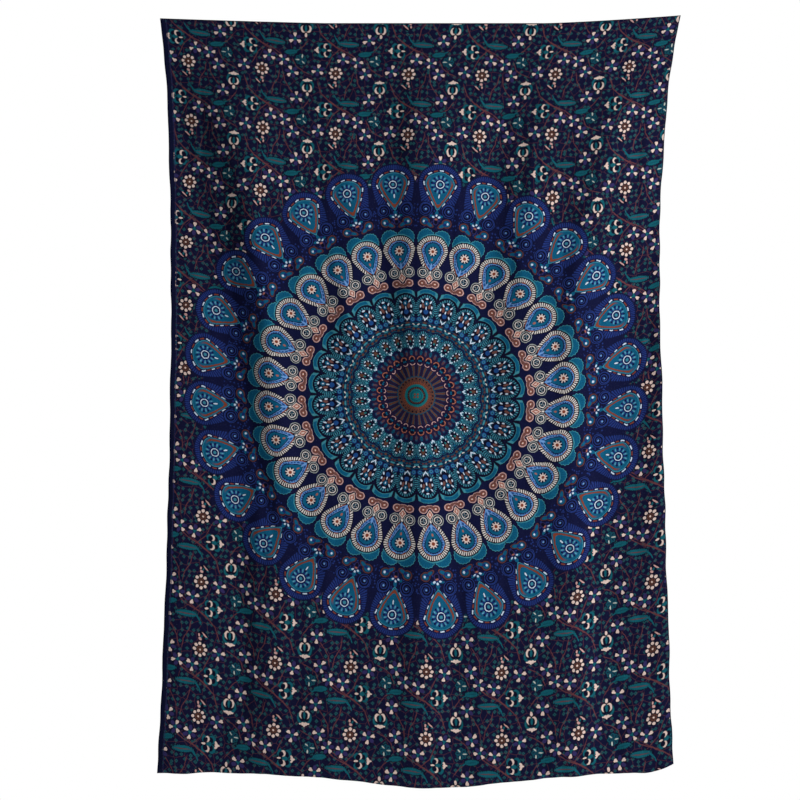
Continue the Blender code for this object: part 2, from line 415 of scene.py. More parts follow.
def medallion(K, P, base, near):
    """28 petals in each ring. P is the print's plane with its origin at the medallion's centre and y down. near(lo, hi) says whether a
    ring of the design is needed."""
    step = 2 * math.pi / 28
    px, py = K.split(P)
    r = K.length(P)
    turn = K.math("ARCTAN2", px, K.math("MULTIPLY", py, -1.0))
    a = K.math("PINGPONG", K.math("SUBTRACT", turn, step / 2), step / 2)
    # petal axis at x = 0, and the gap between two petals at x = 0
    S = K.join(K.math("MULTIPLY", r, K.math("SINE", a)), K.math("MULTIPLY", r, K.math("COSINE", a)))
    b = K.math("SUBTRACT", step / 2, a)
    G = K.join(K.math("MULTIPLY", r, K.math("SINE", b)), K.math("MULTIPLY", r, K.math("COSINE", b)))
    c = base

    if near(176, 250):  # outer ring of eyed petals
        er, ea, ex, ey = polar(K, S, 0, 212)
        d = drop(K, ex, ey, 14.6, 11.8, 25.0, 28.0, 0.62)
        halo = drop(K, ex, ey, 21.6, 19.4, 40.0, 75.0, 0.45)
        c = ink(K, c, K.math("MULTIPLY", r, 1 / 213.0), "gap", 0.01)
        c = ink(K, c, K.math("MULTIPLY", halo, 0.955), "gap", 0.02)
        hatch = rays(K, ea, 58, 0.62)
        rough = K.math("MULTIPLY_ADD", hatch, 0.05, 0.945)
        halo_mask = K.soft(K.math("DIVIDE", halo, rough), 0.97, 1.01)
        c = K.mix(c, K.mix(DYE["royal_dark"], DYE["royal"], hatch), halo_mask)
        c = ink(K, c, K.math("MULTIPLY", d, 0.80), "royal_dark", 0.04)
        n = K.math("MULTIPLY", ea, K.math("MULTIPLY_ADD", K.math("MULTIPLY", ea, ea), 0.0334, 1.146))
        beat = K.math("PINGPONG", n, 0.5)
        ring = K.math("COMPARE", d, 1.115, 0.047)
        c = K.mix(c, DYE["white"], K.math("MULTIPLY", ring, K.soft(beat, 0.15, 0.19)))
        c = K.mix(c, DYE["rust"], K.math("MULTIPLY", ring, K.rise(beat, 0.31, 0.35)))
        c = ink(K, c, d, "teal", 0.02)
        c = band(K, c, d, 0.955, 1.0, "teal_light")
        c = band(K, c, d, 0.765, 0.895, "rust", within=K.soft(ey, -1.0, 7.0))
        c = ink(K, c, K.math("MULTIPLY", er, 1 / 8.9), "blue_deep", 0.05, within=K.soft(d, 0.66, 0.70))
        # small drops round the eye
        ef = K.math("PINGPONG", ea, math.pi / 11)
        E = K.join(K.math("MULTIPLY", er, K.math("SINE", ef)), K.math("MULTIPLY", er, K.math("COSINE", ef)))
        c = ink(K, c, oval(K, E, 0, 7.3, 0.95, 1.9), "teal_light", 0.2)
        c = ink(K, c, oval(K, E, 0, 7.6, 0.38, 0.75), "sky", 0.3)
        c = ink(K, c, oval(K, E, 2.3, 7.6, 0.5, 1.4), "outline", 0.2)
        c = ink(K, c, K.math("MULTIPLY", er, 1 / 5.0), "royal_dark", 0.06)
        c = band(K, c, er, 3.25, 4.1, "white")
        c = ink(K, c, K.math("MULTIPLY", er, 1 / 1.9), "teal_light", 0.15)
        c = band(K, c, er, 1.45, 1.95, "blue_deep")
        c = ink(K, c, oval(K, S, 0, 200.8, 1.15, 2.5), "outline", 0.15)
        c = ink(K, c, oval(K, S, 0, 200.8, 0.75, 2.0), "white", 0.15)
    if near(166, 200):  # between the two rings: spirals, paisleys and a small spray
        ox, oy = K.split(K.place(S, 0, 212))
        d = drop(K, ox, oy, 14.6, 11.8, 25.0, 28.0, 0.62)
        c = ink(K, c, K.math("MULTIPLY", r, 1 / 191.0), "gap", 0.012, within=K.rise(d, 1.0, 1.05))
        fill, _ = K.cells(P, 3.4, 1.0, metric="MANHATTAN")
        c = ink(K, c, K.math("MULTIPLY", fill, 1 / 0.28), "royal", 0.4, within=K.math("MULTIPLY", K.math("COMPARE", r, 181.0, 11.0), K.rise(d, 1.0, 1.05)))
        sr, sa, sx, sy = polar(K, S, 11.6, 187.2)
        c = ink(K, c, K.math("MULTIPLY", sr, 1 / 7.2), "outline", 0.05, within=K.rise(d, 1.0, 1.04))
        swirl = K.math("SINE", K.math("MULTIPLY_ADD", sr, 2.6, K.math("MULTIPLY", sa, 1.0)))
        c = K.mix(c, DYE["royal"], K.math("MULTIPLY", K.soft(sr, 6.2, 6.6), K.rise(swirl, 0.0, 0.6)))
        c = band(K, c, sr, 5.8, 6.5, "royal")
        c = ink(K, c, K.math("MULTIPLY", sr, 1 / 0.9), "sky", 0.4)
        pai = least(K, oval(K, S, 10.9, 175.4, 4.9, 4.5), oval(K, S, 6.3, 172.8, 5.0, 2.3, 28))
        c = ink(K, c, K.math("MULTIPLY", pai, 0.88), "outline", 0.04)
        c = ink(K, c, pai, "dim_rust", 0.05)
        c = ink(K, c, K.math("MULTIPLY", pai, 1.28), "plum", 0.05)
        c = ink(K, c, K.math("MULTIPLY", pai, 1.5), "teal", 0.06)
        c = ink(K, c, oval(K, S, 9.2, 174.4, 2.1, 1.3, 20), "blue_deep", 0.15)
        c = ink(K, c, oval(K, S, 11.8, 175.2, 1.05, 1.15), "white", 0.2)
        c = ink(K, c, oval(K, S, 0, 176.4, 2.6, 3.4), "violet", 0.1)
        c = ink(K, c, oval(K, S, 0, 175.8, 1.7, 2.2), "outline", 0.1)
        c = ink(K, c, oval(K, S, 0, 178.3, 1.6, 0.8), "salmon", 0.3)
        c = ink(K, c, least(K, oval(K, S, 0, 184.2, 1.7, 2.8), oval(K, S, 4.0, 181.2, 2.8, 1.3, 14)), "teal", 0.12)
        c = ink(K, c, least(K, oval(K, S, 0, 182.2, 0.95, 1.1), oval(K, S, 2.9, 180.5, 1.3, 0.8, 25)), "white", 0.25)
    if near(140, 175):  # teal crown over each middle petal
        mr, _, _, my = polar(K, S, 0, 147)
        lobe_r, lobe_a, _, _ = polar(K, S, 7.6, 159.4)
        jag = K.math("MULTIPLY_ADD", K.math("SINE", K.math("MULTIPLY", lobe_a, 17.0)), 0.30, lobe_r)
        crown = most(K, K.math("MULTIPLY", jag, 1 / 8.9), K.math("DIVIDE", 15.9, mr), K.math("DIVIDE", 6.5, K.math("MAXIMUM", my, 0.1)))
        c = ink(K, c, K.math("MULTIPLY", crown, 0.94), "outline", 0.015)
        c = ink(K, c, crown, "teal", 0.02)
        c = band(K, c, crown, 0.93, 1.0, "teal_light")
        streak = K.math("MULTIPLY", rays(K, lobe_a, 17.0, 0.35), K.soft(crown, 0.86, 0.95))
        c = K.mix(c, DYE["teal_deep"], K.math("MULTIPLY", streak, 0.45))
    if near(118, 166):  # middle ring of cream-edged petals
        mr, ma, mx, my = polar(K, S, 0, 147)
        m = drop(K, mx, my, 15.6, 14.9, 26.5, 30.0, 0.60)
        c = ink(K, c, K.math("MULTIPLY", m, 0.935), "outline", 0.012)
        fringe = K.math("MULTIPLY", K.soft(m, 0.985, 1.01), K.rise(m, 0.735, 0.755))
        c = K.mix(c, DYE["bone"], K.math("MULTIPLY", fringe, rays(K, ma, 42, 0.52)))
        c = ink(K, c, K.math("MULTIPLY", m, 1 / 0.745), "outline", 0.02)
        seg = K.math("PINGPONG", K.math("MULTIPLY_ADD", ma, 1.25, 0.42), 0.5)
        ring = K.math("COMPARE", m, 0.725, 0.04)
        c = K.mix(c, DYE["rust"], K.math("MULTIPLY", ring, K.soft(seg, 0.20, 0.25)))
        c = ink(K, c, K.math("MULTIPLY", m, 1 / 0.675), "blue", 0.02)
        c = band(K, c, m, 0.645, 0.680, "sky")
        c = K.mix(c, DYE["sky"], K.math("MULTIPLY", K.math("COMPARE", m, 0.60, 0.035), rays(K, ma, 24, 0.30)))
        c = band(K, c, m, 0.50, 0.54, "sky", within=K.soft(my, -3.0, 0.0))
        inner = drop(K, mx, my, 8.7, 9.0, 14.5, 17.0, 0.60)
        c = ink(K, c, inner, "teal", 0.03)
        c = band(K, c, inner, 0.90, 1.0, "royal_dark")
        c = ink(K, c, K.math("MULTIPLY", mr, 1 / 5.3), "outline", 0.03, within=rays(K, ma, 9, 0.42, math.pi))
        c = ink(K, c, K.math("MULTIPLY", mr, 1 / 2.9), "cream", 0.04)
        c = ink(K, c, K.math("DIVIDE", mr, K.math("MULTIPLY_ADD", rays(K, ma, 9, 0.40), 1.7, 2.7)), "cream", 0.05)
        c = ink(K, c, K.math("MULTIPLY", mr, 1 / 1.6), "rust", 0.15)
        c = ink(K, c, oval(K, S, 0, 138.8, 0.9, 1.5), "salmon", 0.2)
        c = ink(K, c, oval(K, S, 0, 131.6, 1.0, 3.6), "sky", 0.2)
    if near(104, 132):  # scrolls, diamond and lobes that carry the middle petals
        wr, wa, wx, wy = polar(K, S, 7.1, 124.8)
        c = ink(K, c, K.math("MULTIPLY", wr, 1 / 6.0), "outline", 0.03)
        c = band(K, c, wr, 4.75, 5.5, "grey")
        c = band(K, c, wr, 2.8, 3.6, "bone")
        c = K.mix(c, DYE["teal_deep"], K.math("MULTIPLY", K.soft(wr, 2.4, 2.8), rays(K, wa, 4, 0.4, 0.8)))
        c = K.mix(c, DYE["grey"], K.math("MULTIPLY", K.soft(wr, 1.7, 2.1), rays(K, wa, 3, 0.3, 2.2)))
        zx, zy = K.split(K.place(S, 0, 119.4))
        dia = K.math("ADD", K.math("MULTIPLY", zx, 1 / 3.5), K.math("ABSOLUTE", K.math("MULTIPLY", zy, 1 / 5.0)))
        c = ink(K, c, K.math("MULTIPLY", dia, 0.86), "outline", 0.03)
        c = ink(K, c, dia, "cream", 0.05)
        c = ink(K, c, K.math("MULTIPLY", dia, 1.35), "salmon", 0.05)
        c = ink(K, c, oval(K, S, 0.0, 119.4, 0.8, 1.6), "cream", 0.3)
        lobe = least(K, oval(K, S, 6.2, 113.9, 4.3, 3.9, -8), oval(K, S, 2.3, 112.2, 3.6, 1.9, 24))
        c = ink(K, c, K.math("MULTIPLY", lobe, 0.88), "outline", 0.03)
        c = ink(K, c, lobe, "pink", 0.04)
        c = ink(K, c, K.math("MULTIPLY", lobe, 1.34), "outline", 0.05)
        c = ink(K, c, K.math("MULTIPLY", lobe, 1.46), "clay", 0.05)
        c = ink(K, c, oval(K, S, 6.4, 113.9, 2.0, 1.4, -8), "rust", 0.15)
        c = ink(K, c, oval(K, S, 6.4, 113.9, 1.0, 0.7, -8), "cream", 0.25)
    if near(70, 112):  # inner medallion
        c = ink(K, c, K.math("MULTIPLY", r, 1 / 101.0), "gap", 0.004)
        # ring B petals
        br, ba, bx, by = polar(K, S, 0, 89.5)
        cap_r, cap_a, cx_, cy_ = polar(K, S, 0, 92.0)
        c = ink(K, c, oval(K, S, 0, 89.5, 11.2, 15.0), "outline", 0.02, within=K.soft(r, 104.0, 105.0))
        halo = oval(K, S, 0, 89.0, 10.3, 13.4)
        tint = K.mix(DYE["gap"], DYE["teal_light"], rays(K, ba, 30, 0.46))
        c = K.mix(c, tint, K.soft(halo, 0.96, 1.0))
        c = band(K, c, halo, 0.74, 0.80, "teal_deep")
        c = ink(K, c, oval(K, S, 0, 89.4, 6.9, 10.2), "outline", 0.04)
        dots = least(
            K,
            oval(K, S, 0, 98.4, 1.45, 0.85),
            oval(K, S, 4.4, 95.2, 0.7, 1.75, -35),
            oval(K, S, 5.5, 89.8, 0.78, 1.5),
            oval(K, S, 4.7, 84.5, 0.85, 1.5, 25),
        )
        c = ink(K, c, oval(K, S, 3.1, 90.6, 1.3, 2.6, -12), "clay", 0.1)
        c = ink(K, c, oval(K, S, 0, 93.6, 2.1, 2.6), "teal", 0.12)
        c = ink(K, c, oval(K, S, 0, 84.6, 2.3, 2.5), "blue", 0.1)
        c = ink(K, c, least(K, dots, oval(K, S, 0, 93.4, 0.6, 1.1), oval(K, S, 0, 88.6, 0.62, 1.7)), "white", 0.2)
        # white chevron
        vx, vy = K.split(K.place(S, 0, 76.2))
        chev = K.math("MULTIPLY", K.math("SUBTRACT", vy, K.math("MULTIPLY", vx, 1.35)), 1 / 0.95)
        chev = most(K, K.math("ABSOLUTE", chev), K.math("MULTIPLY", vx, 1 / 2.7))
        c = ink(K, c, K.math("MULTIPLY", chev, 0.72), "outline", 0.06, within=K.soft(r, 81.5, 82.5))
        c = ink(K, c, chev, "white", 0.12)
        # pairs of small blue rings between the petals
        gr, ga, _, _ = polar(K, G, 3.0, 76.6)
        c = ink(K, c, K.math("MULTIPLY", gr, 1 / 2.95), "outline", 0.05)
        c = ink(K, c, K.math("MULTIPLY", gr, 1 / 2.5), "blue", 0.08)
        c = ink(K, c, K.math("MULTIPLY", gr, 1 / 1.5), "teal_light", 0.1)
        c = ink(K, c, K.math("MULTIPLY", gr, 1 / 0.9), "blue_deep", 0.1)
        # teal cap
        cap = most(K, K.math("ABSOLUTE", K.math("MULTIPLY", K.math("SUBTRACT", cap_r, 14.0), 1 / 2.0)), K.math("MULTIPLY", cx_, 1 / 10.0), K.soft(cy_, 0.0, 0.1))
        c = ink(K, c, K.math("MULTIPLY", cap, 0.80), "outline", 0.04, within=K.rise(cy_, 4.0, 5.0))
        c = ink(K, c, cap, "teal_light", 0.04, within=K.rise(cy_, 5.0, 6.0))
        c = ink(K, c, K.math("MULTIPLY", cap, 1.32), "teal", 0.05, within=K.rise(cy_, 5.0, 6.0))
    if near(40, 76):  # band between the two inner rings of petals
        core = K.soft(r, 73.8, 74.4)
        zig = K.math("MULTIPLY_ADD", K.math("COSINE", K.math("MULTIPLY", turn, 28.0)), 0.9, r)
        c = K.mix(c, DYE["gap"], core)
        c = K.mix(c, DYE["teal_deep"], K.math("MULTIPLY", core, K.rise(K.math("SINE", K.math("MULTIPLY", zig, 2.5)), 0.0, 0.5)))
        c = K.mix(c, DYE["teal_light"], K.math("MULTIPLY", K.math("MULTIPLY", K.math("COMPARE", zig, 70.2, 0.8), rays(K, turn, 56, 0.55)), 1.0))
        c = ink(K, c, oval(K, G, 2.2, 71.2, 1.3, 0.55, 28), "bone", 0.25)
        c = ink(K, c, least(K, oval(K, S, 0, 73.2, 2.1, 0.9), oval(K, G, 2.3, 66.4, 1.4, 1.1)), "brown", 0.15)
        c = ink(K, c, oval(K, S, 1.4, 68.4, 1.1, 0.9), "dim_rust", 0.3)
        # ring A petals
        ar, aa, ax, ay = polar(K, S, 0, 55.4)
        c = ink(K, c, K.math("MULTIPLY", r, 1 / 64.6), "gap", 0.006)
        gr, ga, _, _ = polar(K, G, 0, 60.8)
        c = ink(K, c, K.math("MULTIPLY", gr, 1 / 2.9), "teal_deep", 0.1)
        c = ink(K, c, K.math("MULTIPLY", gr, 1 / 1.9), "gap", 0.1)
        c = ink(K, c, K.math("MULTIPLY", gr, 1 / 1.1), "teal", 0.2)
        halo = oval(K, S, 0, 55.6, 6.4, 9.2)
        tint = K.mix(DYE["gap"], DYE["teal_light"], rays(K, aa, 26, 0.46))
        c = K.mix(c, tint, K.soft(halo, 0.95, 1.0))
        c = ink(K, c, oval(K, S, 0, 55.6, 3.8, 6.1), "outline", 0.08)
        c = ink(K, c, oval(K, S, 0, 56.4, 1.6, 2.9), "brown", 0.15)
        c = ink(K, c, oval(K, S, 0, 54.4, 0.9, 1.3), "sea", 0.2)
        c = ink(K, c, least(K, oval(K, S, 0, 60.6, 1.1, 0.6), oval(K, S, 2.8, 58.6, 0.5, 1.0, -30), oval(K, S, 3.1, 54.6, 0.55, 0.9), oval(K, S, 2.4, 51.4, 0.55, 0.8, 25)), "white", 0.25)
        vx, vy = K.split(K.place(S, 0, 46.6))
        chev = most(K, K.math("ABSOLUTE", K.math("MULTIPLY", K.math("SUBTRACT", vy, K.math("MULTIPLY", vx, 1.3)), 1 / 0.8)), K.math("MULTIPLY", vx, 1 / 1.7))
        c = ink(K, c, chev, "white", 0.15)
        c = ink(K, c, oval(K, G, 0, 50.6, 1.5, 2.6), "teal_deep", 0.2)
        c = ink(K, c, oval(K, G, 0, 50.6, 0.8, 1.5), "teal_light", 0.3)
    if near(0, 48):  # rosette
        c = K.mix(c, K.mix(DYE["plum"], DYE["teal"], rays(K, turn, 56, 0.42)), K.soft(r, 43.6, 46.0))
        c = ink(K, c, K.math("MULTIPLY", r, 1 / 40.5), "plum", 0.03)
        c = ink(K, c, oval(K, G, 0, 42.0, 0.9, 2.2), "dim_rust", 0.4)
        c = ink(K, c, oval(K, S, 0, 43.0, 1.7, 1.2), "teal_deep", 0.2)
        rr, ra, rx, ry = polar(K, S, 0, 36.4)
        c = ink(K, c, oval(K, S, 0, 36.6, 3.5, 3.6), "outline", 0.05)
        arch = K.math("MULTIPLY", K.math("COMPARE", rr, 2.6, 0.52), K.rise(ry, -1.0, -0.2))
        c = K.mix(c, DYE["salmon"], arch)
        c = ink(K, c, oval(K, S, 0, 39.4, 0.8, 0.7), "rust", 0.2)
        c = ink(K, c, oval(K, S, 0.9, 34.6, 0.8, 1.0), "teal", 0.2)
        ur, ua, ux, uy = polar(K, S, 0, 32.4)
        c = K.mix(c, DYE["pink"], K.math("MULTIPLY", K.math("COMPARE", ur, 2.2, 0.40), K.soft(uy, -0.8, -0.2)))
        # spokes
        c = ink(K, c, K.math("MULTIPLY", r, 1 / 28.8), "plum", 0.01)
        spoke = K.math("DIVIDE", K.split(S)[0], K.math("MULTIPLY_ADD", r, 0.070, -0.60))
        c = ink(K, c, spoke, "brown", 0.15, within=K.soft(r, 28.4, 29.0))
        c = K.mix(c, DYE["teal_deep"], K.math("MULTIPLY", K.math("COMPARE", spoke, 1.0, 0.16), K.soft(r, 28.4, 29.0)))
        ripple = K.math("MULTIPLY_ADD", K.math("COSINE", K.math("MULTIPLY", turn, 28.0)), -0.35, r)
        c = ink(K, c, K.math("MULTIPLY", ripple, 1 / 18.9), "teal_deep", 0.01)
        c = ink(K, c, K.math("MULTIPLY", ripple, 1 / 17.9), "brown", 0.01)
        c = K.mix(c, DYE["outline"], K.math("MULTIPLY", K.math("COMPARE", r, 16.2, 0.75), rays(K, turn, 28, 0.42)))
        c = ink(K, c, K.math("MULTIPLY", r, 1 / 15.0), "brown", 0.02)
        c = K.mix(c, DYE["rust"], K.math("MULTIPLY", K.math("COMPARE", r, 13.0, 1.5), rays(K, turn, 42, 0.40)))
        c = K.mix(c, DYE["plum"], K.math("MULTIPLY", K.math("COMPARE", r, 14.2, 0.45), rays(K, turn, 56, 0.35)))
        c = ink(K, c, K.math("MULTIPLY", r, 1 / 11.3), "sea", 0.02)
        c = ink(K, c, K.math("MULTIPLY", r, 1 / 8.9), "outline", 0.02)
        c = ink(K, c, K.math("MULTIPLY", r, 1 / 8.3), "brown", 0.02, within=rays(K, turn, 28, 0.6))
        c = ink(K, c, K.math("MULTIPLY", r, 1 / 6.8), "sea", 0.03)
        c = band(K, c, r, 4.6, 5.3, "teal_deep")
        fx, fy = K.split(P)
        F = K.join(K.math("ABSOLUTE", fx), K.math("ABSOLUTE", fy))
        c = ink(K, c, oval(K, F, 1.4, 1.4, 1.0), "rust", 0.15)
    return c


TILE = (76.1, 65.3)  # the block's repeat, across and down


def spot(K, P, x, y):
    """The ground's plane about one motif, repeated with the block."""
    return K.wrap(K.place(P, x * 1.04, y * 1.088), TILE[0] / 2, TILE[1] / 2)


def crescent(K, outer, inner):
    """What is inside one shape and outside another."""
    return most(K, outer, K.math("SUBTRACT", 2.0, inner))


def blossom(K, c, P, x, y, turn, size=1.0):
    """Three pale petals with three violet ones between them."""
    q = spot(K, P, x, y)
    qx, qy = K.split(q)
    r = K.length(q)
    a = K.math("PINGPONG", K.math("SUBTRACT", K.math("ARCTAN2", qx, K.math("MULTIPLY", qy, -1.0)), math.radians(turn)), math.pi / 3)
    S = K.join(K.math("MULTIPLY", r, K.math("SINE", a)), K.math("MULTIPLY", r, K.math("COSINE", a)))
    c = ink(K, c, K.math("MULTIPLY", r, 1 / (6.6 * size)), "outline", 0.12)
    c = ink(K, c, oval(K, S, 3.7 * size, 2.4 * size, 2.5 * size, 1.7 * size, 30), "violet", 0.15)
    c = ink(K, c, oval(K, S, 0, 1.3 * size, 0.9 * size, 2.4 * size), "leaf", 0.2)
    c = ink(K, c, least(K, oval(K, S, 0.75 * size, 5.3 * size, 1.0 * size, 1.3 * size), oval(K, S, 0, 4.3 * size, 1.15 * size, 1.9 * size)), "cream", 0.14)
    return c


def ground(K, P, base):
    """The floral block, about its rosette. P is the ground's plane, y down."""
    c = base

    # small leaves scattered under everything, with their stalks
    near, _ = K.cells(P, 6.3, 0.62, metric="MANHATTAN")
    c = ink(K, c, K.math("MULTIPLY", near, 1 / 0.31), "speck", 0.25)
    c = ink(K, c, K.math("MULTIPLY", near, 1 / 0.07), "ground", 0.9)
    web, _ = K.cells(K.place(P, 3.1, 2.2), 9.5, 0.9, "DISTANCE_TO_EDGE")
    c = K.mix(c, DYE["vine"], K.span(web, 0.008, 0.036, 0.62, 0.0))

    # vines
    def twig(x, y, w, *points):
        q = spot(K, P, x, y)
        ds = []
        for (x0, y0), (x1, y1) in zip(points, points[1:]):
            x0, x1, y0, y1 = (x0 - x) * 1.04, (x1 - x) * 1.04, (y0 - y) * 1.088, (y1 - y) * 1.088
            n = math.hypot(x1 - x0, y1 - y0)
            ds.append(oval(K, q, (x0 + x1) / 2, (y0 + y1) / 2, n * 0.64, w, math.degrees(math.atan2(y1 - y0, x1 - x0))))
        return least(K, *ds)

    vines = least(
        K,
        twig(0, 28, 0.50, (-18, 10), (-14, 21), (-6, 29), (5, 36), (17, 45)),
        twig(8, 38, 0.50, (-9, 26), (1, 33), (13, 39), (24, 47)),
        twig(18, 14, 0.42, (17.5, 0), (16, 8), (11, 15.5), (9, 24)),
        twig(24, 14, 0.42, (21, 1), (22, 9.5), (26, 16.5), (31, 23)),
        twig(42, 34, 0.42, (46, 28), (41, 34.5), (35, 39)),
        twig(-4, -14, 0.42, (-9, -6), (-3, -18), (6, -26)),
        twig(38, -6, 0.42, (31, -13), (34, -5.5), (40, -1), (47, 2)),
    )
    c = ink(K, c, vines, "vine", 0.25)

    # fern with a curled tip
    q = spot(K, P, 12.5, 30)
    saw = K.math("MULTIPLY_ADD", K.math("SINE", K.math("MULTIPLY", K.split(q)[0], 3.6)), 0.09, 1.0)
    blade = least(K, K.math("DIVIDE", oval(K, q, 0.8, 0.4, 10.6, 3.1, 3), saw), oval(K, q, -10.6, -3.0, 4.0, 1.0, 52), oval(K, q, -13.3, -7.4, 2.8, 0.6, 68))
    c = ink(K, c, K.math("MULTIPLY", blade, 0.82), "outline", 0.06)
    c = ink(K, c, blade, "leaf", 0.08)
    c = ink(K, c, oval(K, q, 1.2, 0.3, 8.4, 0.45, 3), "vine", 0.4)
    # small leaf
    q = spot(K, P, 30, -20)
    saw = K.math("MULTIPLY_ADD", K.math("SINE", K.math("MULTIPLY", K.split(q)[0], 3.9)), 0.10, 1.0)
    blade = least(K, K.math("DIVIDE", oval(K, q, -0.8, 0.2, 6.8, 2.7, -5), saw), oval(K, q, 6.0, -1.9, 3.2, 0.7, -22))
    c = ink(K, c, K.math("MULTIPLY", blade, 0.82), "outline", 0.06)
    c = ink(K, c, blade, "leaf", 0.08)
    c = ink(K, c, oval(K, q, 0.2, 0.0, 5.4, 0.35, -8), "leaf_dark", 0.3)

    # round teal flower with pale darts
    q = spot(K, P, 39, -12.5)
    qx, qy = K.split(q)
    r = K.length(q)
    t = K.math("ARCTAN2", qx, qy)
    d = K.math("DIVIDE", r, K.math("MULTIPLY_ADD", K.math("COSINE", K.math("MULTIPLY", t, 8.0)), 0.45, 5.7))
    c = ink(K, c, K.math("MULTIPLY", d, 0.86), "outline", 0.05)
    c = ink(K, c, d, "leaf_dark", 0.06)
    c = K.mix(c, DYE["ground"], K.math("MULTIPLY", rays(K, t, 8, 0.3), K.soft(d, 0.72, 0.85)))
    c = ink(K, c, least(K, oval(K, q, 1.4, -3.9, 0.7, 1.9), oval(K, q, -3.3, -0.1, 2.1, 0.6), oval(K, q, 2.3, 2.6, 1.8, 0.6, 45)), "pale", 0.25)

    # lotus, facing left
    q = spot(K, P, -11.9, -23.2)
    m = K.mirror_y(q)
    c = ink(K, c, oval(K, q, 0.2, 0, 8.6, 8.8), "outline", 0.08)
    c = ink(K, c, crescent(K, oval(K, m, -2.2, 4.4, 3.6, 4.0), oval(K, m, -0.4, 3.3, 3.0, 3.3)), "leaf", 0.12)
    c = ink(K, c, crescent(K, oval(K, m, 5.0, 4.6, 3.2, 3.4), oval(K, m, 4.0, 3.2, 2.7, 3.2)), "leaf", 0.12)
    c = ink(K, c, oval(K, m, 0.6, 0.0, 2.6, 2.2), "leaf", 0.2)
    c = ink(K, c, crescent(K, oval(K, m, 2.4, 4.6, 2.3, 2.9), oval(K, m, 3.8, 3.9, 1.9, 2.5)), "cream", 0.14)
    c = ink(K, c, least(K, oval(K, m, 6.2, 0.0, 2.0, 0.95), oval(K, m, -7.0, 0.0, 2.5, 1.0), oval(K, m, -6.2, 1.7, 1.1, 2.1, -35)), "cream", 0.14)

    # pomegranate flower, facing up
    q = spot(K, P, -28.6, 14.4)
    m = K.mirror_x(q)
    c = ink(K, c, oval(K, q, 0, -0.4, 8.0, 8.8), "outline", 0.08)
    c = ink(K, c, crescent(K, oval(K, m, 3.5, -1.0, 3.9, 5.4), oval(K, m, 2.0, 0.4, 3.5, 5.0)), "leaf", 0.12)
    c = ink(K, c, crescent(K, oval(K, m, 2.6, 2.2, 2.7, 3.9), oval(K, m, 1.2, 1.2, 2.3, 3.7)), "cream", 0.12)
    c = ink(K, c, oval(K, m, 0, 1.6, 1.25, 3.6), "leaf", 0.12)
    c = ink(K, c, least(K, oval(K, m, 1.4, -6.6, 2.0, 1.6, 10), oval(K, m, 3.9, -6.6, 1.3, 0.7, 15), oval(K, m, 0.0, -8.2, 0.8, 1.0), oval(K, m, 0.4, 8.6, 0.9, 2.1)), "cream", 0.14)

    # blossoms
    c = blossom(K, c, P, -17.4, -2.6, 12)
    c = blossom(K, c, P, 7.6, -14.6, 6)
    c = blossom(K, c, P, 21.4, -11.2, -36, 0.95)
    c = blossom(K, c, P, 29.6, 0.4, -16)
    c = blossom(K, c, P, 33.4, 26.2, 2)

    # bud spray under the rosette
    q = spot(K, P, -2.6, 11.4)
    c = ink(K, c, oval(K, q, 0, 0, 5.2, 5.0), "outline", 0.12)
    c = ink(K, c, least(K, oval(K, q, -2.0, 1.2, 3.8, 0.7, 44), oval(K, q, 2.4, -2.4, 1.7, 1.3, 30), oval(K, q, 3.4, 1.0, 0.9, 1.5)), "pink", 0.18)
    c = ink(K, c, least(K, oval(K, q, 0.8, -0.2, 0.9, 1.6, 20), oval(K, q, -3.8, -1.6, 1.4, 0.8)), "leaf", 0.2)

    # rosette
    q = spot(K, P, 0, 0)
    qx, qy = K.split(q)
    r = K.length(q)
    t = K.math("ARCTAN2", qx, qy)
    a = K.math("PINGPONG", t, math.pi / 8)
    S = K.join(K.math("MULTIPLY", r, K.math("SINE", a)), K.math("MULTIPLY", r, K.math("COSINE", a)))
    c = ink(K, c, K.math("MULTIPLY", r, 1 / 7.9), "outline", 0.06)
    c = ink(K, c, oval(K, S, 0, 5.6, 1.55, 1.6), "cream", 0.14)
    c = ink(K, c, K.math("MULTIPLY", r, 1 / 3.9), "outline", 0.06)
    c = ink(K, c, K.math("MULTIPLY", r, 1 / 3.4), "brown", 0.08)
    c = K.mix(c, DYE["outline"], K.math("MULTIPLY", K.math("COMPARE", r, 2.2, 0.5), rays(K, t, 8, 0.45)))
    c = ink(K, c, K.math("MULTIPLY", r, 1 / 0.9), "cream", 0.2)
    return c


RINGS = ((0.0, 116.0), (116.0, 208.0), (208.0, 247.0), (247.0, 1000.0))  # the design is split over this many materials, by radius


def printed(K, P, ring):
    """The print at P, a point of its own plane with x to the right, y down and the medallion's centre at 0. ring is which part of the
    design, and all that reaches into it is drawn."""
    low, high = RINGS[ring]
    P = K.waver(K.waver(P, 0.045, 0.9), 0.40, 0.42)
    c = DYE["gap"]
    if high > 208.0:
        # The block is turned half round below the medallion's middle.
        px, py = K.split(P)
        side = K.math("MULTIPLY_ADD", K.math("LESS_THAN", py, 0.0), 2.0, -1.0)
        Q = K.join(K.math("MULTIPLY_ADD", px, side, 10.2), K.math("MULTIPLY_ADD", py, side, 8.1))
        c = ground(K, Q, DYE["ground"])
    if low < 247.0:
        c = medallion(K, K.place(P, 0, 0, 0, 1.0386, 1.0386), c, lambda lo, hi: hi > low - 4 and lo < high + 4)
    return c
# [/print]


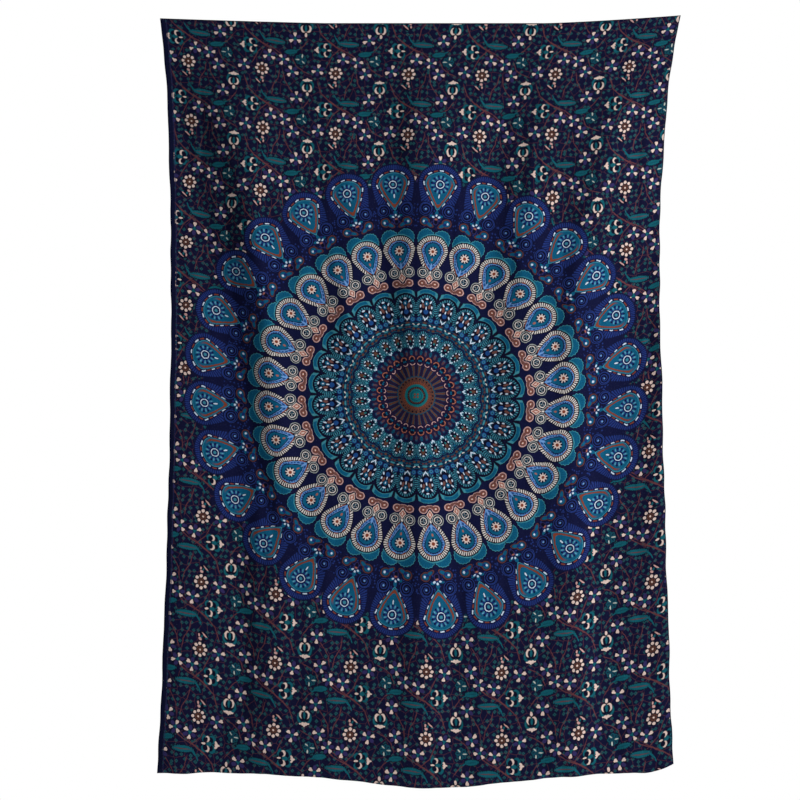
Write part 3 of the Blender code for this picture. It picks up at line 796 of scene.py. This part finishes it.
# ---------------------------------------------------------------- shader nodes
class Draw:
    """Drawing calls that each add a node or a few. Numbers and sockets both work as inputs."""

    def __init__(self, tree):
        self.tree = tree

    def node(self, kind, **settings):
        n = self.tree.nodes.new(kind)
        for k, value in settings.items():
            setattr(n, k, value)
        return n

    def put(self, socket, value):
        if isinstance(value, bpy.types.NodeSocket):
            self.tree.links.new(value, socket)
        elif socket.type == "RGBA" and len(value) == 3:
            socket.default_value = (*value, 1.0)
        else:
            socket.default_value = value

    def math(self, op, a, b=None, c=None):
        n = self.node("ShaderNodeMath", operation=op)
        for socket, value in zip(n.inputs, (a, b, c)):
            if value is not None:
                self.put(socket, value)
        return n.outputs[0]

    def vector(self, op, a, b=None, c=None):
        n = self.node("ShaderNodeVectorMath", operation=op)
        for socket, value in zip(n.inputs, (a, b, c)):
            if value is not None:
                self.put(socket, value)
        return n.outputs["Value"] if op in ("LENGTH", "DOT_PRODUCT") else n.outputs["Vector"]

    def length(self, p):
        return self.vector("LENGTH", p)

    def place(self, p, x, y, turn=0.0, sx=1.0, sy=1.0):
        n = self.node("ShaderNodeMapping", vector_type="TEXTURE")
        self.put(n.inputs["Vector"], p)
        n.inputs["Location"].default_value = (x, y, 0.0)
        n.inputs["Rotation"].default_value = (0.0, 0.0, turn)
        n.inputs["Scale"].default_value = (sx, sy, 1.0)
        return n.outputs[0]

    def span(self, d, lo, hi, a, b):
        n = self.node("ShaderNodeMapRange", interpolation_type="SMOOTHSTEP")
        for name, value in (("Value", d), ("From Min", lo), ("From Max", hi), ("To Min", a), ("To Max", b)):
            self.put(n.inputs[name], value)
        return n.outputs[0]

    def soft(self, d, lo, hi):
        return self.span(d, lo, hi, 1.0, 0.0)

    def rise(self, d, lo, hi):
        return self.span(d, lo, hi, 0.0, 1.0)

    def mix(self, base, dye, mask, blend="MIX"):
        n = self.node("ShaderNodeMix", data_type="RGBA", blend_type=blend, clamp_factor=True)
        self.put(n.inputs[0], mask)
        self.put(n.inputs[6], base)
        self.put(n.inputs[7], dye)
        return n.outputs[2]

    def split(self, p):
        n = self.node("ShaderNodeSeparateXYZ")
        self.put(n.inputs[0], p)
        return n.outputs[0], n.outputs[1]

    def join(self, x, y):
        n = self.node("ShaderNodeCombineXYZ")
        self.put(n.inputs[0], x)
        self.put(n.inputs[1], y)
        return n.outputs[0]

    def wrap(self, p, w, h):
        return self.vector("WRAP", p, (w, h, 1.0), (-w, -h, -1.0))

    def mirror_x(self, p):
        x, y = self.split(p)
        return self.join(self.math("ABSOLUTE", x), y)

    def mirror_y(self, p):
        x, y = self.split(p)
        return self.join(x, self.math("ABSOLUTE", y))

    def cells(self, p, spacing, jitter, feature="F1", metric="EUCLIDEAN"):
        n = self.node("ShaderNodeTexVoronoi", voronoi_dimensions="2D", feature=feature, distance=metric)
        self.put(n.inputs["Vector"], p)
        n.inputs["Scale"].default_value = 1.0 / spacing
        n.inputs["Randomness"].default_value = jitter
        return n.outputs["Distance"], n.outputs.get("Color")

    def noise(self, p, scale, detail=2.0, rough=0.5):
        n = self.node("ShaderNodeTexNoise", noise_dimensions="2D")
        self.put(n.inputs["Vector"], p)
        n.inputs["Scale"].default_value = scale
        n.inputs["Detail"].default_value = detail
        n.inputs["Roughness"].default_value = rough
        return n

    def waver(self, p, freq, amount):
        """The hand-cut block's slight unevenness."""
        n = self.noise(p, freq, 1.0)
        push = self.vector("MULTIPLY_ADD", n.outputs["Color"], (2 * amount, 2 * amount, 0.0), (-amount, -amount, 0.0))
        return self.vector("ADD", p, push)


def new_material(name):
    m = bpy.data.materials.new(name)
    m.use_nodes = True
    tree = m.node_tree
    tree.nodes.clear()
    return m, Draw(tree)


def shader(K, colour, roughness, normal, specular=0.25, sheen=0.0, sheen_rough=0.5):
    n = K.node("ShaderNodeBsdfPrincipled")
    K.put(n.inputs["Base Color"], colour)
    K.put(n.inputs["Roughness"], roughness)
    if normal is not None:
        K.put(n.inputs["Normal"], normal)
    n.inputs["Specular IOR Level"].default_value = specular
    n.inputs["Sheen Weight"].default_value = sheen
    n.inputs["Sheen Roughness"].default_value = sheen_rough
    out = K.node("ShaderNodeOutputMaterial")
    K.tree.links.new(n.outputs[0], out.inputs["Surface"])
    return n


def uv_point(K, name):
    n = K.node("ShaderNodeUVMap")
    n.uv_map = name
    return n.outputs[0]


def weave(K, cut):
    """Plain-weave cotton in metres on the flat: thread by thread relief, with the thick and thin places of real yarn. Returns a
    height of about 0 to 1, and the warp's and weft's own unevenness."""
    flat = K.place(cut, 0, 0, 0, 1 / FLAT_W, 1 / FLAT_H)
    warp_yarn = K.noise(K.place(flat, 0, 0, 0, 1.0, 60.0), 1400.0, 1.0).outputs[0]
    weft_yarn = K.noise(K.place(flat, 0, 0, 0, 60.0, 1.0), 1400.0, 1.0).outputs[0]
    slub = K.noise(K.place(flat, 0, 0, 0, 0.055, 0.0016), 1.0, 2.0).outputs[0]
    slub_up = K.noise(K.place(flat, 0.3, 0.7, 0, 0.0018, 0.075), 1.0, 2.0).outputs[0]
    x, y = K.split(flat)
    pitch = 2 * math.pi / 0.00105
    wx = K.math("SINE", K.math("MULTIPLY", x, pitch))
    wy = K.math("SINE", K.math("MULTIPLY", y, pitch))
    cross = K.math("MULTIPLY_ADD", K.math("MULTIPLY", wx, wy), 0.30, 0.5)
    yarn = K.math("MULTIPLY_ADD", K.math("ADD", warp_yarn, weft_yarn), 0.35, -0.35)
    thick = K.math("MULTIPLY_ADD", K.math("ADD", slub, slub_up), 0.9, -0.9)
    return K.math("ADD", K.math("ADD", cross, yarn), thick), slub, slub_up


def cotton(ring):
    """The printed cloth, for one ring of the design. Its back shows the same print, paler, as dye that came through."""
    m, K = new_material(f"printed_cotton_{ring}")
    c = printed(K, uv_point(K, "print"), ring)
    cut = uv_point(K, "cut")
    u, v = K.split(cut)
    # the plain strip down the left side, with the thin line where the print starts
    c = K.mix(c, DYE["selvedge"], K.soft(u, 0.0092, 0.0102))
    c = K.mix(c, DYE["line"], K.math("COMPARE", u, 0.0112, 0.0006))
    # painted shadow: a thin dark line painted along the turned edges at the top and on the right, where the rolled hem
    # casts its shade
    c = K.mix(c, DYE["outline"], K.math("MAXIMUM", K.rise(u, 0.9974, 0.9986), K.soft(v, 0.0006, 0.0014)))
    # uneven dye: broad clouds, and yarns that took less of it
    height, slub, slub_up = weave(K, cut)
    flat = K.place(cut, 0, 0, 0, 1 / FLAT_W, 1 / FLAT_H)
    cloud = K.noise(flat, 4.5, 3.0, 0.55).outputs[0]
    fleck = K.noise(flat, 260.0, 2.0, 0.7).outputs[0]
    tone = K.math("MULTIPLY_ADD", K.math("ADD", slub, slub_up), 0.42, 0.58)
    tone = K.math("ADD", tone, K.math("MULTIPLY_ADD", cloud, 0.24, -0.12))
    tone = K.math("ADD", tone, K.math("MULTIPLY_ADD", fleck, 0.34, -0.17))
    c = K.mix(c, tone_colour(K, tone), 1.0, "MULTIPLY")
    # ink that sits on the yarns and leaves a haze of bare fibre
    c = K.mix(c, DYE["fibre"], K.math("MULTIPLY", K.rise(fleck, 0.62, 0.85), 0.10))
    # the back
    side = K.node("ShaderNodeAttribute", attribute_name="side", attribute_type="GEOMETRY").outputs["Fac"]
    c = K.mix(c, DYE["reverse"], K.math("MULTIPLY", side, 0.42))
    rough = K.math("MULTIPLY_ADD", fleck, 0.14, 0.78)
    rough = K.math("MULTIPLY_ADD", side, 0.05, rough)
    bump = K.node("ShaderNodeBump")
    K.put(bump.inputs["Height"], height)
    bump.inputs["Distance"].default_value = 0.00022
    bump.inputs["Strength"].default_value = 0.8
    shader(K, c, rough, bump.outputs[0], specular=0.07, sheen=0.01, sheen_rough=0.6)
    return m


def tone_colour(K, tone):
    n = K.node("ShaderNodeCombineColor")
    for socket in n.inputs:
        K.put(socket, tone)
    return n.outputs[0]


def selvedge():
    """The left hem: plain dyed cotton. The closer weave along its edge is not drawn: it has the same weave as the
    printed cloth.
    """
    m, K = new_material("plain_selvedge")
    cut = uv_point(K, "cut")
    height, slub, slub_up = weave(K, cut)
    flat = K.place(cut, 0, 0, 0, 1 / FLAT_W, 1 / FLAT_H)
    cloud = K.noise(flat, 14.0, 3.0, 0.55).outputs[0]
    fleck = K.noise(flat, 300.0, 2.0, 0.7).outputs[0]
    tone = K.math("MULTIPLY_ADD", K.math("ADD", slub, slub_up), 0.45, 0.55)
    tone = K.math("ADD", tone, K.math("MULTIPLY_ADD", cloud, 0.4, -0.2))
    c = K.mix(DYE["selvedge"], tone_colour(K, tone), 1.0, "MULTIPLY")
    c = K.mix(c, DYE["fibre"], K.math("MULTIPLY", K.rise(fleck, 0.60, 0.85), 0.16))
    bump = K.node("ShaderNodeBump")
    K.put(bump.inputs["Height"], height)
    bump.inputs["Distance"].default_value = 0.00022
    bump.inputs["Strength"].default_value = 0.8
    shader(K, c, K.math("MULTIPLY_ADD", fleck, 0.12, 0.80), bump.outputs[0], specular=0.07, sheen=0.01, sheen_rough=0.6)
    return m


def sewing_thread():
    """Two-ply cotton thread: the twist runs round each stitch."""
    m, K = new_material("sewing_thread")
    p = uv_point(K, "thread")
    x, y = K.split(p)  # along the thread and round it, in metres and turns
    twist = K.math("SINE", K.math("MULTIPLY", K.math("MULTIPLY_ADD", x, 1400.0, y), 2 * math.pi))
    fuzz = K.noise(K.place(p, 0, 0, 0, 0.0006, 0.35), 1.0, 2.0, 0.7).outputs[0]
    tone = K.math("MULTIPLY_ADD", twist, 0.22, K.math("MULTIPLY_ADD", fuzz, 0.6, 0.6))
    c = K.mix(DYE["thread"], tone_colour(K, tone), 1.0, "MULTIPLY")
    c = K.mix(c, DYE["fibre"], K.math("MULTIPLY", K.rise(fuzz, 0.58, 0.80), 0.15))
    bump = K.node("ShaderNodeBump")
    K.put(bump.inputs["Height"], K.math("MULTIPLY_ADD", fuzz, 0.4, twist))
    bump.inputs["Distance"].default_value = 0.00006
    shader(K, c, K.math("MULTIPLY_ADD", fuzz, 0.25, 0.52), bump.outputs[0], specular=0.35, sheen=0.1, sheen_rough=0.5)
    return m


COTTONS = [cotton(ring) for ring in range(len(RINGS))]
COTTON = COTTONS[-1]
SELVEDGE = selvedge()
THREAD = sewing_thread()


# ---------------------------------------------------------------- the panel
U_L, U_R = HEM_LEFT / FLAT_W, 1.0 - HEM_RIGHT / FLAT_W
V_T, V_B = HEM_TOP / DROP_SIDE, 1.0 - HEM_BOTTOM / DROP_SIDE
LIP = 0.0007  # the panel's edge, tucked under each hem's folded lip
PANEL_N = 0.0003  # the panel lies this far in front of the middle, with the hems' turned cloth behind it


def print_place(u, v):
    """Where a point of the cloth is in the print, for arrays. Weft lines dip between the two held corners and again where the folds
    take up cloth, the ground is more open towards the foot, and the weave is drawn in at the top and let out below."""
    left, right = np.maximum(0.56 - u, 0.0), np.maximum(u - 0.62, 0.0)
    hump = 0.5 - 0.5 * np.cos(4 * np.pi * u)
    drop = 1.5 + hump * (1.5 + 5.5 * ramp((v - 0.10) / 0.25) + 3.0 * ramp((v - 0.72) / 0.15))
    middle = np.exp(-(((u - 0.50) / 0.12) ** 2))
    drop += middle * (4.5 * np.exp(-(((v - 0.30) / 0.10) ** 2)) - 5.0 * np.exp(-(((v - 0.66) / 0.09) ** 2)) + 2.0 * np.exp(-(((v - 0.88) / 0.07) ** 2)))
    row = v * 760.0 + 38.0 * left**2 + 36.0 * right**2 - drop
    y = row * (1.0892 - 0.0000947 * row) - 389.4
    wide = 0.988 + 0.038 * ramp((v - 0.12) / 0.20) - 0.010 * ramp((v - 0.75) / 0.15)
    x = (u * 520.0 - 259.4 - 1.0) / wide
    return np.stack([x, y], -1)


def panel():
    u = np.linspace(LIP / FLAT_W, 1 - LIP / FLAT_W, COLS + 1)
    t = np.linspace(0, 1, ROWS + 1)
    v = LIP / DROP_SIDE + (1 - 2 * LIP / DROP_SIDE) * (0.82 * t + 0.18 * t * t)  # closer rows near the top
    uu, vv = np.meshgrid(u, v)
    mid, n = surface(uu, vv), surface_normal(uu, vv)
    face = (mid + n * (PANEL_N + CLOTH_T / 2)).reshape(-1, 3)
    back = (mid + n * (PANEL_N - CLOTH_T / 2)).reshape(-1, 3)
    count = len(face)
    faces = grid_faces(COLS, ROWS, 0, False)
    front_faces = len(faces)
    faces += grid_faces(COLS, ROWS, count, True)
    ring = (
        [i for i in range(COLS + 1)]
        + [j * (COLS + 1) + COLS for j in range(1, ROWS + 1)]
        + [ROWS * (COLS + 1) + i for i in range(COLS - 1, -1, -1)]
        + [j * (COLS + 1) for j in range(ROWS - 1, 0, -1)]
    )
    rim = [(a, b, b + count, a + count) for a, b in zip(ring, ring[1:] + ring[:1])]
    faces += rim
    ob = own("cloth_panel", np.concatenate([face, back]), faces, COTTON)
    mesh = ob.data
    flat = np.stack([uu.ravel(), vv.ravel()], -1)
    add_uv(mesh, "cut", np.concatenate([flat, flat]))
    where = print_place(uu.ravel(), vv.ravel())
    add_uv(mesh, "print", np.concatenate([where, where]))
    bake = np.concatenate([flat * (0.675, -0.99) + (0.005, 0.995), flat * (0.30, -0.44) + (0.69, 0.995)])
    layer = add_uv(mesh, "OFBake", bake)
    for k, (a, b, _, _) in enumerate(rim):  # the rim is laid out in rows of its own
        x, y = 0.69 + 0.30 * (k % 300) / 300, 0.50 - 0.012 * (k // 300)
        start = mesh.polygons[front_faces * 2 + k].loop_start
        for step, (dx, dy) in enumerate(((0, 0), (0.001, 0), (0.001, -0.004), (0, -0.004))):
            layer.uv[start + step].vector = (x + dx, y + dy)
    side_map(mesh, [0.0] * front_faces + [1.0] * front_faces + [0.5] * len(rim))
    for extra in COTTONS[:-1]:
        mesh.materials.append(extra)
    centre = print_place((uu[:-1, :-1] + uu[1:, 1:]) / 2, (vv[:-1, :-1] + vv[1:, 1:]) / 2)
    r = (np.hypot(centre[..., 0], centre[..., 1]) / 1.0386).ravel()
    index = np.select([(r >= lo) & (r < hi) for lo, hi in RINGS[:-1]], [k + 1 for k in range(len(RINGS) - 1)], 0)
    mesh.polygons.foreach_set("material_index", np.concatenate([index, index, np.zeros(len(rim), int)]).astype(np.int32))
    mesh.update()
    return ob


# ---------------------------------------------------------------- hems
def profile(width):
    """A hem's section: distance in from the cut edge, and height in front of the middle of the cloth. It wraps the panel's edge and
    lies doubled behind it."""
    return [
        (0.00120, 0.00060),
        (0.00060, 0.00066),
        (0.00018, 0.00045),
        (0.00000, 0.00005),
        (0.00012, -0.00045),
        (0.00070, -0.00072),
        (width * 0.35, -0.00078),
        (width * 0.75, -0.00070),
        (width - 0.0006, -0.00074),
        (width, -0.00040),
        (width - 0.0004, 0.00000),
        (width * 0.5, 0.00000),
        (0.00130, 0.00002),
        (0.00100, 0.00028),
    ]


def hem(name, line, width, inward, mat, turned):
    """line is the hem's (u, v) path along the cut edge, and inward the (u, v) step of one metre in from it."""
    line = np.array(line)
    section = profile(width)
    k = len(section)
    verts, cuts = [], []
    for s, n in section:
        uv = line + np.array(inward) * s
        p = surface(uv[:, 0], uv[:, 1]) + surface_normal(uv[:, 0], uv[:, 1]) * n
        verts.append(p)
    verts = np.stack(verts, 1)  # along, section, xyz
    rows = len(line)
    walk = np.cumsum([0.0] + [math.dist(a, b) for a, b in zip(section, section[1:])])
    for i in range(k):
        # the turned cloth goes on past the edge, so its print does too
        cuts.append(line + np.array(inward) * (0.0012 - walk[i]))
    cuts = np.stack(cuts, 1)
    faces = []
    for j in range(rows - 1):
        for i in range(k):
            a, b = j * k + i, j * k + (i + 1) % k
            faces.append((a, b, b + k, a + k))
    faces.append(tuple(range(k - 1, -1, -1)))
    faces.append(tuple((rows - 1) * k + i for i in range(k)))
    ob = own(name, verts.reshape(-1, 3), faces, mat)
    add_uv(ob.data, "cut", cuts.reshape(-1, 2))
    add_uv(ob.data, "print", print_place(cuts[..., 0], cuts[..., 1]).reshape(-1, 2))
    side_map(ob.data, [0.0] * len(faces))
    fix_normals(ob)
    return ob


def fix_normals(ob):
    bm = bmesh.new()
    bm.from_mesh(ob.data)
    bmesh.ops.recalc_face_normals(bm, faces=bm.faces)
    bm.to_mesh(ob.data)
    bm.free()


def along(n, lo, hi):
    return np.linspace(lo, hi, n + 1)


corner_v = HEM_TOP / DROP_SIDE
across = along(COLS, 0.0, 1.0)
down = along(ROWS, corner_v, V_B)
hem_top = hem("top_hem", [(u, 0.0) for u in across], HEM_TOP, (0, 1 / DROP_SIDE), COTTON, True)
hem_bottom = hem("bottom_hem", [(u, 1.0) for u in across], HEM_BOTTOM, (0, -1 / DROP_SIDE), COTTON, True)
hem_left = hem("left_hem", [(0.0, v) for v in down], HEM_LEFT, (1 / FLAT_W, 0), SELVEDGE, False)
hem_right = hem("right_hem", [(1.0, v) for v in down], HEM_RIGHT, (-1 / FLAT_W, 0), COTTON, False)
cloth_panel = panel()


# ---------------------------------------------------------------- stitches
def stitches(name, path, pitch=0.0033, radius=0.00024):
    """Lockstitch: a row of short threads on the face and another on the back, each pulled into the cloth at both ends."""
    fine = 1200
    at = np.array([path(t) for t in np.linspace(0, 1, fine + 1)])
    p, n = surface(at[:, 0], at[:, 1]), surface_normal(at[:, 0], at[:, 1])
    run = np.concatenate([[0.0], np.cumsum(np.linalg.norm(np.diff(p, axis=0), axis=1))])
    count = int(run[-1] / pitch)
    sides, rings = 6, 5
    verts, faces, uvs = [], [], []
    for side in (1, -1):
        for k in range(count):
            s0 = (k + (0.10 if side > 0 else 0.55)) * pitch
            s1 = s0 + pitch * 0.84
            if s1 > run[-1]:
                continue
            first = len(verts)
            wobble = 0.00010 * math.sin(k * 2.4 + side)
            for r in range(rings):
                f = r / (rings - 1)
                s = s0 + (s1 - s0) * f
                c = np.array([np.interp(s, run, p[:, q]) for q in range(3)])
                up = np.array([np.interp(s, run, n[:, q]) for q in range(3)])
                ahead = np.array([np.interp(s + 2e-4, run, p[:, q]) for q in range(3)]) - np.array([np.interp(s - 2e-4, run, p[:, q]) for q in range(3)])
                ahead /= np.linalg.norm(ahead)
                across_ = np.cross(ahead, up)
                across_ /= np.linalg.norm(across_)
                arch = math.sin(math.pi * f)
                fat = radius * (0.55 + 0.45 * arch)
                if side > 0:
                    lift = 0.00052 + 0.00022 * arch
                else:
                    lift = -0.00066 - 0.00012 * arch
                c = c + up * lift + across_ * wobble * arch
                for q in range(sides):
                    w = 2 * math.pi * q / sides
                    verts.append(c + across_ * math.cos(w) * fat + up * math.sin(w) * fat * 0.8)
                    uvs.append((s, q / sides))
            for r in range(rings - 1):
                for q in range(sides):
                    a, b = first + r * sides + q, first + r * sides + (q + 1) % sides
                    faces.append((a, b, b + sides, a + sides))
            faces.append(tuple(first + q for q in range(sides - 1, -1, -1)))
            faces.append(tuple(first + (rings - 1) * sides + q for q in range(sides)))
    ob = own(name, verts, faces, THREAD)
    add_uv(ob.data, "thread", uvs)
    fix_normals(ob)
    # no thread passes the wall's plane
    for vert in ob.data.vertices:
        vert.co.y = min(vert.co.y, -0.00002)
    return ob


s_l, s_r = (HEM_LEFT - STITCH_IN) / FLAT_W, 1 - (HEM_RIGHT - STITCH_IN) / FLAT_W
s_t, s_b = (HEM_TOP - STITCH_IN) / DROP_SIDE, 1 - (HEM_BOTTOM - STITCH_IN) / DROP_SIDE
stitch_top = stitches("top_stitching", lambda t: (0.004 + 0.992 * t, s_t))
stitch_bottom = stitches("bottom_stitching", lambda t: (0.004 + 0.992 * t, s_b))
stitch_left = stitches("left_stitching", lambda t: (s_l, s_t + (s_b - s_t) * t))
stitch_right = stitches("right_stitching", lambda t: (s_r, s_t + (s_b - s_t) * t))

# nothing of the cloth passes the wall's plane either
for ob in (cloth_panel, hem_top, hem_bottom, hem_left, hem_right):
    co = np.empty(len(ob.data.vertices) * 3)
    ob.data.vertices.foreach_get("co", co)
    co = co.reshape(-1, 3)
    print(ob.name, "largest y", round(float(co[:, 1].max()), 5), "smallest", round(float(co[:, 1].min()), 4))
    co[:, 1] = np.minimum(co[:, 1], -0.00001)
    ob.data.vertices.foreach_set("co", co.ravel())
    ob.data.update()

# ---------------------------------------------------------------- how the pieces move
for ob in (cloth_panel, hem_left, hem_right, stitch_left, stitch_right):
    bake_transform(ob)
for ob, body in ((hem_top, "top_edge"), (stitch_top, "top_edge"), (hem_bottom, "flap"), (stitch_bottom, "flap")):
    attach(ob, body)

for ob, node, slot in (
    (cloth_panel, "printed_panel", "printed_cotton"),
    (hem_top, "hem_top", "hem_cotton"),
    (hem_bottom, "hem_bottom", "hem_cotton"),
    (hem_left, "hem_left", "plain_selvedge"),
    (hem_right, "hem_right", "hem_cotton"),
    (stitch_top, "stitch_top", "sewing_thread"),
    (stitch_bottom, "stitch_bottom", "sewing_thread"),
    (stitch_left, "stitch_left", "sewing_thread"),
    (stitch_right, "stitch_right", "sewing_thread"),
):
    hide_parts(node)


# ---------------------------------------------------------------- stage, light and camera
AMBIENT = 0.345


def pale_floor():
    n = 96
    verts, faces = [(0.0, 0.0, 0.0)], []
    rings = (0.6, 1.4, 2.4)
    for r in rings:
        verts += [(r * math.cos(2 * math.pi * k / n), r * math.sin(2 * math.pi * k / n), 0.0) for k in range(n)]
    faces += [(0, 1 + k, 1 + (k + 1) % n) for k in range(n)]
    for ring in range(len(rings) - 1):
        a = 1 + ring * n
        faces += [(a + k, a + n + k, a + n + (k + 1) % n, a + (k + 1) % n) for k in range(n)]
    m, K = new_material("pale_floor")
    at = K.node("ShaderNodeTexCoord").outputs["Object"]
    grain = K.node("ShaderNodeTexNoise")
    K.put(grain.inputs["Vector"], at)
    grain.inputs["Scale"].default_value = 40.0
    c = K.mix((0.93, 0.92, 0.91), (0.96, 0.95, 0.94), grain.outputs[0])
    shader(K, c, K.math("MULTIPLY_ADD", grain.outputs[0], 0.1, 0.75), None, specular=0.2)
    ob = own("floor", verts, faces, m)
    ob.location = (0.0, 0.0, -2.62)


pale_floor()


def soft_light(name, at, target, size, power, tint=(1.0, 1.0, 1.0)):
    data = bpy.data.lights.new(name, "AREA")
    data.shape = "RECTANGLE"
    data.size, data.size_y = size
    data.energy = power
    data.color = tint
    ob = bpy.data.objects.new(name, data)
    scene.collection.objects.link(ob)
    ob.location = at
    ob.rotation_euler = (Vector(target) - Vector(at)).to_track_quat("-Z", "Y").to_euler()


# a white studio: what is seen behind the object is white, and the light that it gives is softer
world = bpy.data.worlds.new("studio")
world.use_nodes = True
W = Draw(world.node_tree)
world.node_tree.nodes.clear()
ray = W.node("ShaderNodeLightPath").outputs["Is Camera Ray"]
sky = W.node("ShaderNodeBackground")
W.put(sky.inputs["Color"], W.mix((0.90, 0.99, 1.06), (1.0, 1.0, 1.0), ray))
W.put(sky.inputs["Strength"], W.math("MULTIPLY_ADD", ray, 1.0 - AMBIENT, AMBIENT))
world.node_tree.links.new(sky.outputs[0], W.node("ShaderNodeOutputWorld").inputs["Surface"])
scene.world = world
soft_light("key", (2.6, -1.9, -0.65), (0.1, 0.0, -1.0), (0.8, 1.6), 78.0, (0.93, 0.99, 1.0))
soft_light("behind", (-1.5, 2.2, 0.6), (0.0, 0.0, -1.0), (1.4, 1.4), 40.0)

camera = bpy.data.objects.new("camera", bpy.data.cameras.new("camera"))
scene.collection.objects.link(camera)
DISTANCE = 5.2
camera.location = (-0.040, -DISTANCE, -1.002)
camera.rotation_euler = (math.pi / 2, 0.0, 0.0)
camera.data.sensor_width = 36.0
camera.data.lens = 36.0 * DISTANCE / 2.14
camera.data.clip_end = 100.0
scene.camera = camera
scene.view_settings.view_transform = "Standard"
